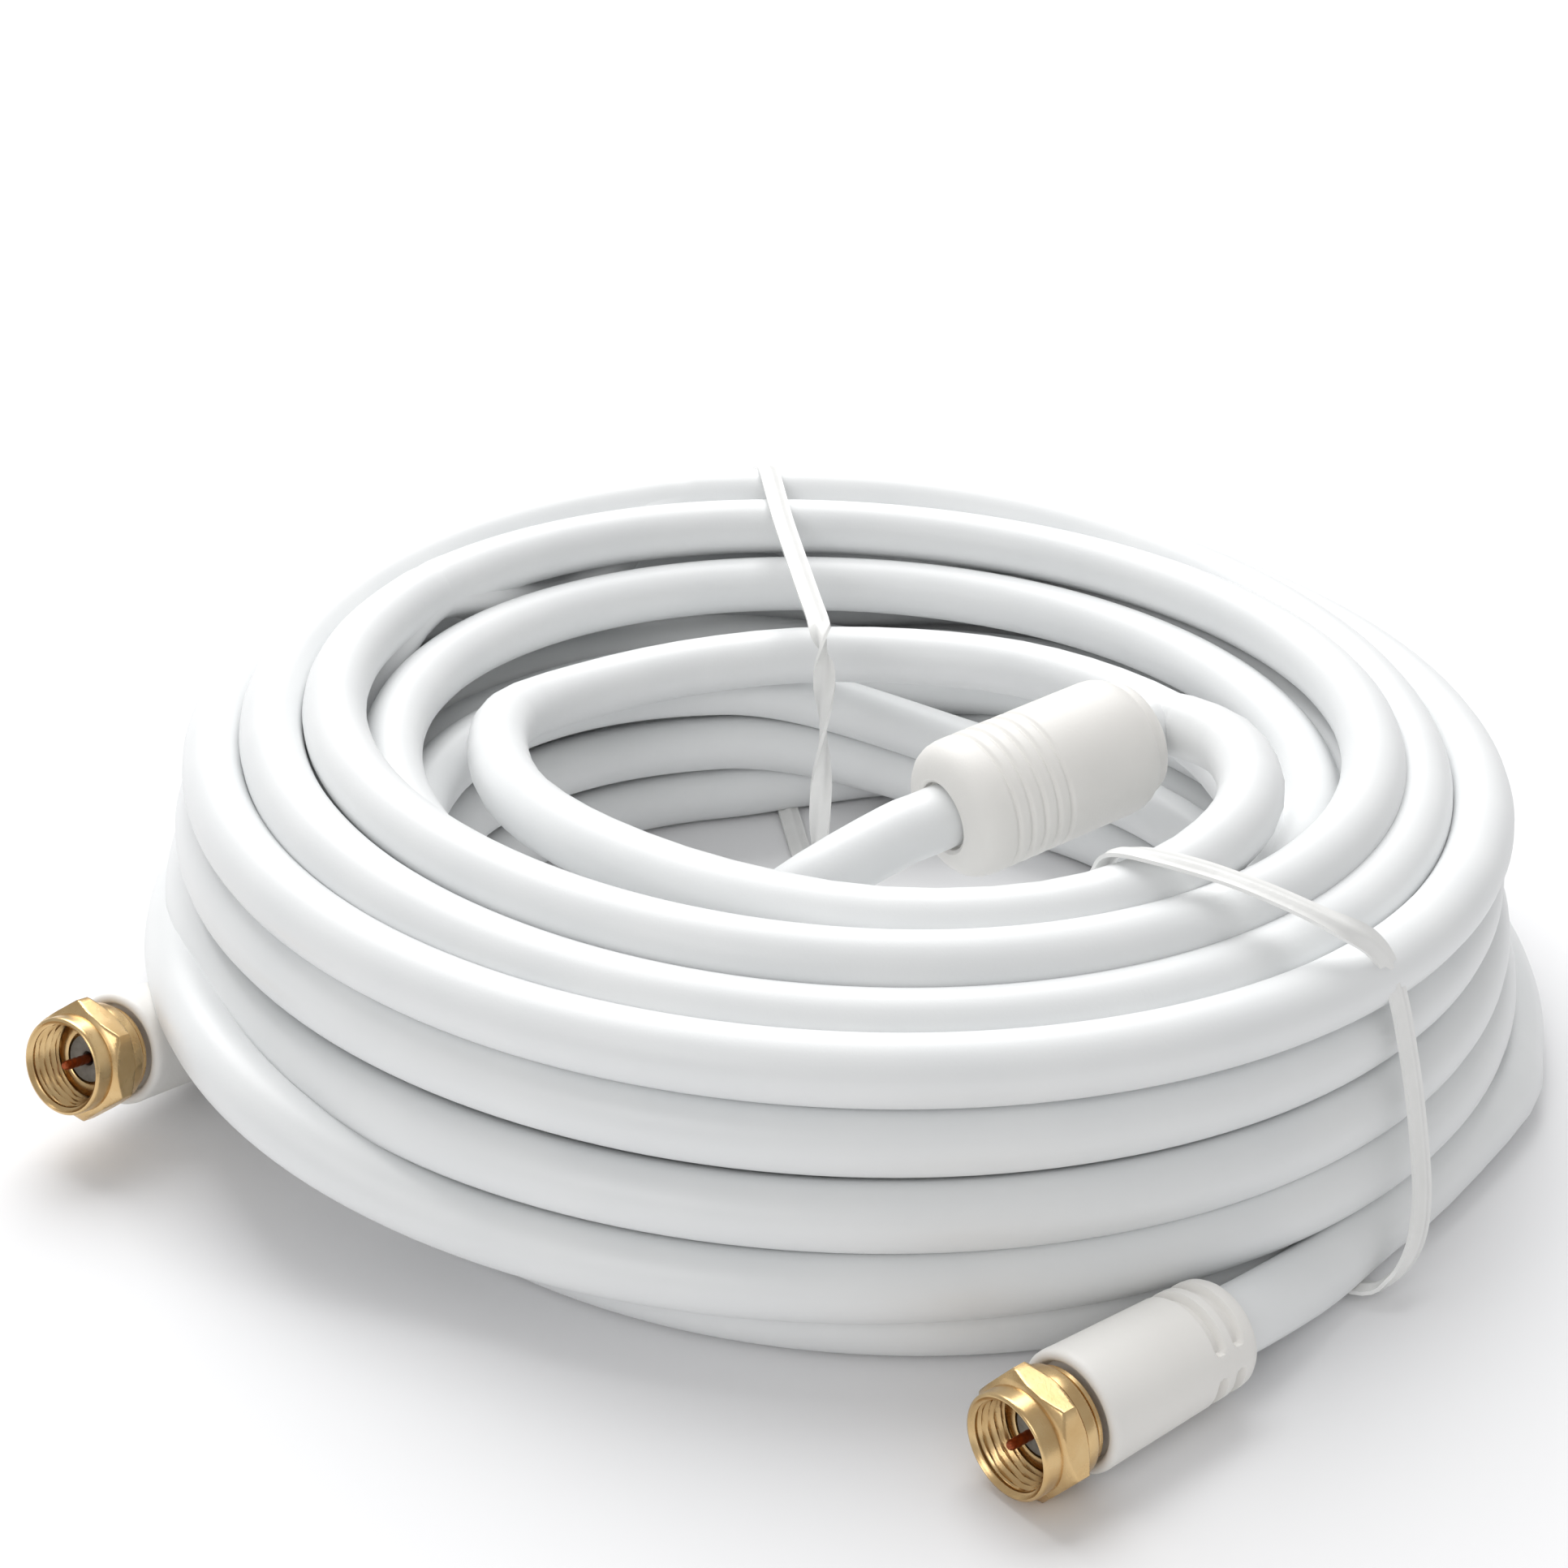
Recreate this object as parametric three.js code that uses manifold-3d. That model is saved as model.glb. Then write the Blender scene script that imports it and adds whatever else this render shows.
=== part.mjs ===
// A coil of white coaxial cable as it is sold: about nineteen turns, a slack inner loop with a ferrite
// choke on it, an F-type screw plug on each end and two plastic-covered wire ties.
// Millimetres, +Z up, and -Y is the side that the front plug lies on. Everything is placed from the
// coil's axis at floor level, and then the whole is moved to have the middle of its box at the origin.
import * as THREE from "three";
import Module from "manifold-3d";
import { mergeVertices } from "three/addons/utils/BufferGeometryUtils.js";

const wasm = await Module();
wasm.setup();

// Where the coil's axis stands from the middle of the whole coil's box.
const axisPlace = [2.484, 8.272];

// The gap that is kept between two pieces that touch on the real coil.
const seatGap = 0.3;
const degree = Math.PI / 180;

const cableDiameter = 6.9;
const cableRadius = cableDiameter / 2;
const tubeSides = 10;

// The coil: the turns that show, seen as one section through the ring.
const boreRadius = 41.5;
const ringSegments = 60;
// How far from the bore wall's turns each turn's centre lies. Up the outside, from the floor.
const outsideSteps = [24.1, 28.9, 26.9, 25.1, 24.6];
// Inwards over the top, with the height of each above the top outside turn.
const topSteps = [18.2, 12.2, 6.0];
const topRises = [1.8, 5.0, -2.1];
const wallTurns = 3;
const turnArcSteps = 3;
const creaseAngle = 28 * degree;
const coilRadius = boreRadius + cableDiameter + Math.max(...outsideSteps);

// The slack inner loop, from where it leaves the ring to the choke, and the lead from the choke to
// the wall of the bore. Points chosen along the cable's middle, x, y, z, for a bore of 41.5, and they
// spread with the bore.
const loopSpread = boreRadius / 41.5;
const innerLoopPoints = [
  [38.6, 4.5, 27.5],
  [31.5, 12.5, 28.5],
  [19, 18.5, 29.5],
  [5, 21.5, 30],
  [-10, 20.5, 30],
  [-24, 15.5, 30.5],
  [-34, 6.5, 31.5],
  [-38.6, -6, 32.5],
  [-37, -19, 33.5],
  [-29.5, -31, 34.3],
  [-17, -40, 34.9],
  [-2, -45.3, 35.2],
  [13, -46.2, 35.6],
  [26, -42, 36.4],
  [36.5, -34, 37],
  [42, -23.5, 37],
  [40.5, -13.5, 36.6],
];
const boreLeadPoints = [
  [-3, -30.6, 27.5],
  [-14, -30.5, 18.5],
  [-24, -25.5, 10],
  [-32, -18.5, 5],
  [-38.4, -13.6, 3.6],
];

// The ferrite choke, moulded over the cable between the inner loop and the bore lead.
const choke = { length: 28, radius: 7.6, neckRadius: 5.2, noseLength: 3.2, straightCable: 4 };
const chokeRight = [31.6, -9.1, 35.3];
const chokeHeading = { turn: 213, dip: 8 };

// One F-type plug, along its own axis from the mouth of the nut.
const nut = {
  length: 6.4,
  flats: 11.1,
  collarRadius: 5.05,
  collarLength: 2,
  hexLength: 2.9,
  shoulderRadius: 5.3,
  chamfer: 0.5,
  threadRadius: 4.35,
  threadDepth: 4.9,
  neckClearance: 0.35,
};
const plugBody = {
  neckRadius: 3.2,
  flangeRadius: 4.05,
  flangeLength: 0.9,
  ferruleRadius: 4.7,
  ferruleLength: 0.6,
  socketRadius: 2.7,
};
const insulator = { length: 1.4, clearance: 0.25 };
const pin = { radius: 0.5, set: 0.4, clearance: 0.25 };
const boot = { length: 19.5, frontRadius: 5.9, rearRadius: 5.35, edge: 1.2 };

// Where the two plugs lie: how far the mouth is out from the widest turn, how far round from +X, its
// height, the way from mouth to cable, and the tilt.
const frontPlug = { name: "front", out: 15.67, around: -80.9, height: boot.frontRadius, turn: 40.5, dip: 0 };
const leftPlug = { name: "left", out: 13, around: -149.74, height: 11.6, turn: 59, dip: 13.5 };

// The front plug's lead, from the boot to the bottom turn that it becomes.
const frontLeadEnd = { reach: 16.4, swing: 2.7 };

// The two ties: plastic ribbon around the whole ring and the inner loop, each in an upright plane.
// Its middle is so far out from the bore's wall and so far round, and the route is along the ribbon's
// middle: out from there, and up.
const tie = { width: 2.6, thickness: 0.9, steps: 44 };
const frontTie = {
  name: "front_tie",
  fromBore: 20.42,
  around: -50.24,
  turn: -27,
  route: [
    [-21, 0.55], [0, 0.55], [15, 0.6], [18.2, 3.5], [19.2, 9], [18.4, 17], [16.9, 25], [14.2, 31.8],
    [7.5, 36.4], [0, 38.8], [-8, 40], [-15.5, 41], [-20, 38.6], [-22.3, 33], [-24.3, 22], [-24.6, 10],
    [-23.8, 2.5],
  ],
};
const backTie = {
  name: "back_tie",
  fromBore: -2.04,
  around: 98.75,
  turn: 99.3,
  route: [
    [-20, 0.55], [0, 0.55], [20, 0.55], [36.5, 1.2], [39.6, 8], [37.8, 16.5], [36, 25], [33.8, 32],
    [26, 35.6], [18.5, 38.6], [11, 38.4], [0, 36.8], [-12, 34.9], [-19, 34.4], [-23, 32], [-24.6, 26],
    [-24.8, 15], [-24.2, 4],
  ],
};

const jacket = new THREE.MeshStandardMaterial({ color: 0xe9ebec, roughness: 0.5, metalness: 0 });
const moulding = new THREE.MeshStandardMaterial({ color: 0xf0efec, roughness: 0.55, metalness: 0 });
const gold = new THREE.MeshStandardMaterial({ color: 0xd4aa58, roughness: 0.22, metalness: 1 });
const insulation = new THREE.MeshStandardMaterial({ color: 0xd9d6cf, roughness: 0.6, metalness: 0 });
const copper = new THREE.MeshStandardMaterial({ color: 0x8f4a2c, roughness: 0.4, metalness: 1 });
const ribbon = new THREE.MeshStandardMaterial({ color: 0xf3f3f1, roughness: 0.4, metalness: 0 });

const coil = new THREE.Group();

function solidOf(geometry) {
  const bare = geometry.clone();
  bare.deleteAttribute("normal");
  bare.deleteAttribute("uv");
  const merged = mergeVertices(bare, 1e-4);
  const mesh = new wasm.Mesh({
    numProp: 3,
    vertProperties: new Float32Array(merged.attributes.position.array),
    triVerts: new Uint32Array(merged.index.array),
  });
  return new wasm.Manifold(mesh);
}

function geometryOf(solid) {
  const mesh = solid.getMesh();
  const geometry = new THREE.BufferGeometry();
  geometry.setAttribute("position", new THREE.BufferAttribute(mesh.vertProperties, 3));
  geometry.setIndex(new THREE.BufferAttribute(mesh.triVerts, 1));
  return geometry;
}

function addPiece(group, name, geometry, material) {
  const piece = new THREE.Mesh(geometry, material.clone());
  piece.name = name;
  group.add(piece);
  return piece;
}

// A turned solid about the X axis, from a closed list of [along, radius].
function turned(profile, segments) {
  const points = profile.map(([along, radius]) => new THREE.Vector2(radius, along));
  points.push(points[0].clone());
  const lathe = new THREE.LatheGeometry(points, segments);
  lathe.rotateZ(-Math.PI / 2);
  return lathe;
}

function tube(points, radius, sides, steps) {
  const section = new THREE.Shape();
  for (let i = 0; i < sides; i += 1) {
    const angle = (i / sides) * 2 * Math.PI;
    const corner = [radius * Math.cos(angle), radius * Math.sin(angle)];
    if (i === 0) section.moveTo(...corner);
    else section.lineTo(...corner);
  }
  const path = new THREE.CatmullRomCurve3(points.map((point) => new THREE.Vector3(...point)));
  return new THREE.ExtrudeGeometry(section, { steps, extrudePath: path, bevelEnabled: false });
}

// The centres of the turns that show, from the floor outside, over the top and down the bore.
function turnCentres() {
  const wall = boreRadius + cableRadius;
  const outside = [];
  outsideSteps.forEach((step, i) => {
    const radius = wall + step;
    if (i === 0) outside.push([radius, cableRadius]);
    else {
      const [below, height] = outside[i - 1];
      const across = Math.min(Math.abs(radius - below), 0.9 * cableDiameter);
      outside.push([radius, height + Math.sqrt(cableDiameter ** 2 - across ** 2)]);
    }
  });
  const topHeight = outside[outside.length - 1][1];
  const top = topSteps.map((step, i) => [wall + step, topHeight + topRises[i]]);
  const bore = [];
  for (let i = wallTurns - 1; i >= 0; i -= 1) bore.push([wall, cableRadius + i * cableDiameter]);
  return { outside, top, bore, all: [...outside, ...top, ...bore] };
}

const centres = turnCentres();

// One outline around the section: an arc for each turn, trimmed where two turns meet in a crease.
function ringOutline() {
  const turns = centres.all;
  const outline = [
    [turns[turns.length - 1][0], 0],
    [turns[0][0], 0],
  ];
  const towards = (from, to) => Math.atan2(to[1] - from[1], to[0] - from[0]);
  turns.forEach((centre, i) => {
    const first = i === 0 ? -Math.PI / 2 : towards(centre, turns[i - 1]) + creaseAngle;
    let last = i === turns.length - 1 ? -Math.PI / 2 : towards(centre, turns[i + 1]) - creaseAngle;
    while (last < first) last += 2 * Math.PI;
    for (let k = 0; k <= turnArcSteps; k += 1) {
      const atFloor = (i === 0 && k === 0) || (i === turns.length - 1 && k === turnArcSteps);
      const angle = first + ((last - first) * k) / turnArcSteps;
      const point = [centre[0] + cableRadius * Math.cos(angle), centre[1] + cableRadius * Math.sin(angle)];
      if (!atFloor) outline.push(point);
    }
  });
  return outline;
}

function ring() {
  const points = ringOutline().map(([radius, height]) => new THREE.Vector2(radius, height));
  points.push(points[0].clone());
  return new THREE.LatheGeometry(points, ringSegments).rotateX(Math.PI / 2);
}

function roundPoint(radius, around) {
  return [radius * Math.cos(around * degree), radius * Math.sin(around * degree)];
}

// Points of the loose cable in the bore, spread to the bore's size.
function spread(points) {
  return points.map(([x, y, z]) => [x * loopSpread, y * loopSpread, z]);
}

// A group at the plug's mouth whose X axis runs along the plug towards the cable.
function plugGroup(plug) {
  const group = new THREE.Group();
  group.rotation.set(0, plug.dip * degree, plug.turn * degree, "ZYX");
  group.position.set(...roundPoint(coilRadius + plug.out, plug.around), plug.height);
  group.updateMatrixWorld(true);
  return group;
}

const bootStart = nut.length + seatGap + plugBody.ferruleLength + seatGap;
const bootEnd = bootStart + boot.length;

function bootGeometry(grown = 0) {
  const { frontRadius, rearRadius, edge } = boot;
  return turned(
    [
      [bootStart - grown, 0],
      [bootStart - grown, frontRadius - edge / 2 + grown],
      [bootStart + edge / 2, frontRadius + grown],
      [bootEnd - edge, rearRadius + grown],
      [bootEnd + grown, rearRadius - edge + grown],
      [bootEnd + grown, 0],
    ],
    24,
  );
}

function nutGeometry() {
  const hexStart = nut.collarLength;
  const hexEnd = hexStart + nut.hexLength;
  const rim = nut.collarRadius - nut.chamfer;
  const core = solidOf(
    turned(
      [
        [0, 0],
        [0, rim],
        [nut.chamfer, nut.collarRadius],
        [hexEnd, nut.shoulderRadius],
        [nut.length - nut.chamfer, nut.shoulderRadius],
        [nut.length, nut.shoulderRadius - nut.chamfer],
        [nut.length, 0],
      ],
      32,
    ),
  );
  const acrossCorners = nut.flats / Math.sqrt(3);
  const hexagon = new THREE.CylinderGeometry(acrossCorners, acrossCorners, nut.hexLength, 6);
  hexagon.rotateY(30 * degree);
  hexagon.rotateZ(-Math.PI / 2);
  hexagon.translate(hexStart + nut.hexLength / 2, 0, 0);
  const corners = solidOf(
    turned(
      [
        [hexStart - 0.1, 0],
        [hexStart - 0.1, nut.flats / 2 - 0.2],
        [hexStart + 0.9, acrossCorners],
        [hexEnd - 0.9, acrossCorners],
        [hexEnd + 0.1, nut.flats / 2 - 0.2],
        [hexEnd + 0.1, 0],
      ],
      32,
    ),
  );
  const neck = plugBody.neckRadius + nut.neckClearance;
  const bore = solidOf(
    turned(
      [
        [-1, 0],
        [-1, nut.threadRadius],
        [nut.threadDepth, nut.threadRadius],
        [nut.threadDepth, neck],
        [nut.length + 1, neck],
        [nut.length + 1, 0],
      ],
      32,
    ),
  );
  return geometryOf(core.add(solidOf(hexagon).intersect(corners)).subtract(bore));
}

// The crimped body: the flange that holds the nut, its neck, and the ferrule ring behind the nut.
function plugBodyGeometry() {
  const flangeEnd = nut.threadDepth - seatGap;
  const flangeStart = flangeEnd - plugBody.flangeLength;
  const ferruleStart = nut.length + seatGap;
  const ferruleEnd = ferruleStart + plugBody.ferruleLength;
  const socketEnd = flangeStart + insulator.length + insulator.clearance;
  return turned(
    [
      [flangeStart, plugBody.socketRadius],
      [flangeStart, plugBody.flangeRadius],
      [flangeEnd, plugBody.flangeRadius],
      [flangeEnd, plugBody.neckRadius],
      [ferruleStart, plugBody.neckRadius],
      [ferruleStart, plugBody.ferruleRadius],
      [ferruleEnd, plugBody.ferruleRadius],
      [ferruleEnd, pin.radius + pin.clearance],
      [socketEnd, pin.radius + pin.clearance],
      [socketEnd, plugBody.socketRadius],
    ],
    32,
  );
}

function addPlug(plug) {
  const group = plugGroup(plug);
  coil.add(group);
  const flangeStart = nut.threadDepth - seatGap - plugBody.flangeLength;
  addPiece(group, `${plug.name}_boot`, bootGeometry(), moulding);
  addPiece(group, `${plug.name}_nut`, nutGeometry(), gold);
  addPiece(group, `${plug.name}_plug_body`, plugBodyGeometry(), gold);
  const disc = turned(
    [
      [flangeStart, pin.radius + pin.clearance],
      [flangeStart, plugBody.socketRadius - insulator.clearance],
      [flangeStart + insulator.length, plugBody.socketRadius - insulator.clearance],
      [flangeStart + insulator.length, pin.radius + pin.clearance],
    ],
    24,
  );
  addPiece(group, `${plug.name}_insulator`, disc, insulation);
  const wire = turned(
    [
      [pin.set, 0],
      [pin.set, pin.radius * 0.6],
      [pin.set + pin.radius * 0.6, pin.radius],
      [bootStart - seatGap, pin.radius],
      [bootStart - seatGap, 0],
    ],
    12,
  );
  addPiece(group, `${plug.name}_pin`, wire, copper);
  return group;
}

// The point that lies so far along a plug from its mouth.
function alongPlug(group, along) {
  return group.localToWorld(new THREE.Vector3(along, 0, 0));
}

// A tie as a closed flat loop around the ring, or, when grown, the room that it needs.
function tieGeometry(place, grown = 0) {
  const points = place.route.map(([out, up]) => new THREE.Vector3(out, up, 0));
  const route = new THREE.CatmullRomCurve3(points, true);
  const half = tie.thickness / 2 + grown;
  const beside = (side) => {
    const edge = [];
    for (let i = 0; i < tie.steps; i += 1) {
      const at = route.getPoint(i / tie.steps);
      const way = route.getTangent(i / tie.steps);
      const height = Math.max(at.y - side * half * way.x, grown > 0 ? -1 : 0.05);
      edge.push(new THREE.Vector2(at.x + side * half * way.y, height));
    }
    return edge;
  };
  const outline = new THREE.Shape(beside(1));
  outline.holes.push(new THREE.Path(beside(-1)));
  const depth = tie.width + 2 * grown;
  const band = new THREE.ExtrudeGeometry(outline, { depth, bevelEnabled: false });
  band.translate(0, 0, -depth / 2);
  band.rotateX(Math.PI / 2);
  band.rotateZ(place.turn * degree);
  band.translate(...roundPoint(boreRadius + place.fromBore, place.around), 0);
  return band;
}

function chokeGeometry() {
  const { length, radius, neckRadius, noseLength } = choke;
  return turned(
    [
      [0, 0],
      [0, neckRadius],
      [1.2, radius - 0.5],
      [noseLength, radius],
      [length - noseLength, radius],
      [length - 1, radius - 1.4],
      [length, neckRadius],
      [length, 0],
    ],
    28,
  );
}

const frontGroup = addPlug(frontPlug);
const leftGroup = addPlug(leftPlug);

// The front lead: out of the boot and along the floor beside the ring.
const frontLeadStart = alongPlug(frontGroup, bootEnd + 2 * seatGap);
const leadHeading = frontPlug.turn * degree;
const frontLeadPoints = [0, 0.15, 0.4, 0.7, 1].map((share) => {
  const along = share * frontLeadEnd.reach;
  const aside = Math.max(0, share - 0.15) ** 2 * frontLeadEnd.swing;
  return [
    frontLeadStart.x + along * Math.cos(leadHeading) - aside * Math.sin(leadHeading),
    frontLeadStart.y + along * Math.sin(leadHeading) + aside * Math.cos(leadHeading),
    frontLeadStart.z + (cableRadius - frontLeadStart.z) * Math.min(1, Math.max(0, 1.7 * (share - 0.15))),
  ];
});
addPiece(coil, "front_lead", tube(frontLeadPoints, cableRadius, tubeSides, 5), jacket);

const chokeGroup = new THREE.Group();
chokeGroup.rotation.set(0, chokeHeading.dip * degree, chokeHeading.turn * degree, "ZYX");
chokeGroup.position.set(...spread([chokeRight])[0]);
chokeGroup.updateMatrixWorld(true);
coil.add(chokeGroup);
addPiece(chokeGroup, "ferrite_choke", chokeGeometry(), moulding);

const alongChoke = (along) => chokeGroup.localToWorld(new THREE.Vector3(along, 0, 0)).toArray();
const innerLoop = [...spread(innerLoopPoints), alongChoke(-choke.straightCable), alongChoke(-2 * seatGap)];
addPiece(coil, "inner_loop", tube(innerLoop, cableRadius, tubeSides, 44), jacket);
const boreLead = [
  alongChoke(choke.length + 2 * seatGap),
  alongChoke(choke.length + choke.straightCable),
  ...spread(boreLeadPoints),
];
addPiece(coil, "bore_lead", tube(boreLead, cableRadius, tubeSides, 12), jacket);

// The ring, less the room for what touches it: the ties, the boots, the leads and the inner loop.
const roomFor = [
  tieGeometry(frontTie, seatGap),
  tieGeometry(backTie, seatGap),
  bootGeometry(seatGap).applyMatrix4(leftGroup.matrixWorld),
  bootGeometry(seatGap).applyMatrix4(frontGroup.matrixWorld),
  tube(frontLeadPoints, cableRadius + seatGap, tubeSides, 5),
  tube(innerLoop, cableRadius + seatGap, tubeSides, 44),
  tube(boreLead, cableRadius + seatGap, tubeSides, 12),
];
const ringSolid = geometryOf(
  roomFor.reduce((left, room) => left.subtract(solidOf(room)), solidOf(ring())),
);
addPiece(coil, "cable_coil", ringSolid, jacket);

for (const place of [frontTie, backTie]) addPiece(coil, place.name, tieGeometry(place), ribbon);

coil.position.set(...axisPlace, 0);

export default coil;
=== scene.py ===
import math

import bmesh
import bpy
from mathutils import Matrix, Vector


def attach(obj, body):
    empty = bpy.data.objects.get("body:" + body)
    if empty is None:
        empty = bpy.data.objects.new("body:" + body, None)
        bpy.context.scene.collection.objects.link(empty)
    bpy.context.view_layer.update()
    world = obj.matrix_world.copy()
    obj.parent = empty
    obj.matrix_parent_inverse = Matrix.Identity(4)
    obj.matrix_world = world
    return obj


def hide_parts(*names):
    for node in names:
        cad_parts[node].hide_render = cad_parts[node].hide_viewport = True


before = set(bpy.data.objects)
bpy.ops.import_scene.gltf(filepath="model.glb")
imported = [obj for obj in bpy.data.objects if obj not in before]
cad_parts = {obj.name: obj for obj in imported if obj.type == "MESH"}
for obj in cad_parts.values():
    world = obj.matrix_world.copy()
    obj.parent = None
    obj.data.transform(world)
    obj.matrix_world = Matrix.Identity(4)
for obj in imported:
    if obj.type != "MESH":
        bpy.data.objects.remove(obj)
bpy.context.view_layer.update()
print("frame loaded,", len(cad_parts), "solids")

mm = 0.001
axisPlace = Vector((2.484, 8.272, 0.0))  # mm, where the coil's axis stands, as in the CAD


def toLinear(hexColour):
    channels = [int(hexColour[i:i + 2], 16) / 255 for i in (1, 3, 5)]
    return [c / 12.92 if c <= 0.04045 else ((c + 0.055) / 1.055) ** 2.4 for c in channels] + [1.0]


def addNode(tree, kind, inputs=None, **settings):
    node = tree.nodes.new(kind)
    for name, value in settings.items():
        setattr(node, name, value)
    for name, value in (inputs or {}).items():
        if isinstance(value, bpy.types.NodeSocket):
            tree.links.new(value, node.inputs[name])
        else:
            node.inputs[name].default_value = value
    return node


def newMaterial(name):
    material = bpy.data.materials.new(name)
    material.use_nodes = True
    tree = material.node_tree
    tree.nodes.clear()
    shader = addNode(tree, "ShaderNodeBsdfPrincipled")
    addNode(tree, "ShaderNodeOutputMaterial", {"Surface": shader.outputs[0]})
    coords = addNode(tree, "ShaderNodeTexCoord").outputs["Object"]
    return material, tree, shader, coords


def finishPiece(name, bm, material, smoothAngle=30):
    mesh = bpy.data.meshes.new(name)
    bm.to_mesh(mesh)
    bm.free()
    mesh.shade_smooth()
    mesh.set_sharp_from_angle(angle=math.radians(smoothAngle))
    mesh.materials.append(material)
    piece = bpy.data.objects.new(name, mesh)
    bpy.context.scene.collection.objects.link(piece)
    return piece


# A closed body turned about the X axis, from [along, radius] in mm.
def turnedBody(profile, steps=64, closed=False):
    bm = bmesh.new()
    corners = [bm.verts.new((along, radius, 0)) for along, radius in profile]
    pairs = list(zip(corners, corners[1:])) + ([(corners[-1], corners[0])] if closed else [])
    edges = [bm.edges.new(pair) for pair in pairs]
    bmesh.ops.spin(bm, geom=corners + edges, cent=(0, 0, 0), axis=(1, 0, 0),
                   angle=2 * math.pi, steps=steps, use_merge=True)
    bmesh.ops.remove_doubles(bm, verts=bm.verts, dist=1e-5)
    bmesh.ops.recalc_face_normals(bm, faces=bm.faces)
    return bm


# Moves a corner of a turned body in or out, so that its radius is so many times what it was.
def scaleRadius(vert, factor):
    vert.co.y *= factor
    vert.co.z *= factor


# A closed outline carried from station to station, each a matrix in mm.
def sweptBody(outline, stations, closed=False):
    bm = bmesh.new()
    corners = [bm.verts.new(stations[0] @ Vector((x, y, 0))) for x, y in outline]
    first = [bm.edges.new(pair) for pair in zip(corners, corners[1:] + corners[:1])]
    last = first
    for before, after in zip(stations, stations[1:]):
        grown = bmesh.ops.extrude_edge_only(bm, edges=last)["geom"]
        last = [item for item in grown if isinstance(item, bmesh.types.BMEdge)]
        moved = [item for item in grown if isinstance(item, bmesh.types.BMVert)]
        bmesh.ops.transform(bm, matrix=after @ before.inverted(), verts=moved)
    if closed:
        bmesh.ops.bridge_loops(bm, edges=first + last)
    else:
        bmesh.ops.edgeloop_fill(bm, edges=first)
        bmesh.ops.edgeloop_fill(bm, edges=last)
    bmesh.ops.recalc_face_normals(bm, faces=bm.faces)
    return bm


# More points on a smooth line through the given ones.
def smoothLine(points, parts, closed=False):
    count = len(points)
    line = []
    for i in range(count if closed else count - 1):
        if closed:
            p0, p1, p2, p3 = (points[(i + k) % count] for k in (-1, 0, 1, 2))
        else:
            p0, p1 = points[max(i - 1, 0)], points[i]
            p2, p3 = points[i + 1], points[min(i + 2, count - 1)]
        for k in range(parts):
            t = k / parts
            line.append(0.5 * (2 * p1 + (p2 - p0) * t + (2 * p0 - 5 * p1 + 4 * p2 - p3) * t ** 2
                               + (3 * p1 - p0 - 3 * p2 + p3) * t ** 3))
    if not closed:
        line.append(points[-1].copy())
    return line


def placeBody(bm, place):
    scaled = Matrix.Diagonal((mm, mm, mm, 1)) @ Matrix.Translation(axisPlace) @ place
    bmesh.ops.transform(bm, matrix=scaled, verts=bm.verts)
    return bm


viewpoint = {
    "place": (-6.41, -283.2, 166.05),  # mm from the coil's axis
    "elevation": 26.7535,
    "roll": 1.9709,
    "focalPixels": 3457.8,  # of 1932 across the picture
}


def makeCamera():
    elevation, roll = math.radians(viewpoint["elevation"]), math.radians(viewpoint["roll"])
    ahead = Vector((0, math.cos(elevation), -math.sin(elevation)))
    above = Vector((0, math.sin(elevation), math.cos(elevation)))
    right = Vector((1, 0, 0))
    axisX = math.cos(roll) * right + math.sin(roll) * above
    axisY = -math.sin(roll) * right + math.cos(roll) * above
    turn = Matrix((axisX, axisY, -ahead)).transposed().to_4x4()
    data = bpy.data.cameras.new("camera")
    data.sensor_width = 36
    data.lens = 36 * viewpoint["focalPixels"] / 1932
    data.clip_start, data.clip_end = 0.02, 20
    camera = bpy.data.objects.new("camera", data)
    camera.matrix_world = Matrix.Translation((Vector(viewpoint["place"]) + axisPlace) * mm) @ turn
    bpy.context.scene.collection.objects.link(camera)
    bpy.context.scene.camera = camera


makeCamera()
print("camera placed")


# Drawn PVC cable jacket: satin white, a little cool, with faint cloudiness and a fine skin.
def jacketMaterial():
    material, tree, shader, coords = newMaterial("satin PVC jacket")
    clouds = addNode(tree, "ShaderNodeTexNoise", {"Vector": coords, "Scale": 90.0, "Detail": 3.0})
    tone = addNode(tree, "ShaderNodeMix", {"Factor": clouds.outputs["Fac"], "A": toLinear("#e9ebec"),
                                           "B": toLinear("#f2f3f3")}, data_type="RGBA")
    gloss = addNode(tree, "ShaderNodeMapRange", {"Value": clouds.outputs["Fac"],
                                                 "To Min": 0.36, "To Max": 0.46})
    skin = addNode(tree, "ShaderNodeTexNoise", {"Vector": coords, "Scale": 2600.0, "Detail": 2.0})
    bump = addNode(tree, "ShaderNodeBump", {"Height": skin.outputs["Fac"], "Strength": 0.05,
                                            "Distance": 0.0002})
    tree.links.new(tone.outputs["Result"], shader.inputs["Base Color"])
    tree.links.new(gloss.outputs["Result"], shader.inputs["Roughness"])
    tree.links.new(bump.outputs["Normal"], shader.inputs["Normal"])
    shader.inputs["IOR"].default_value = 1.53
    return material


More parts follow.
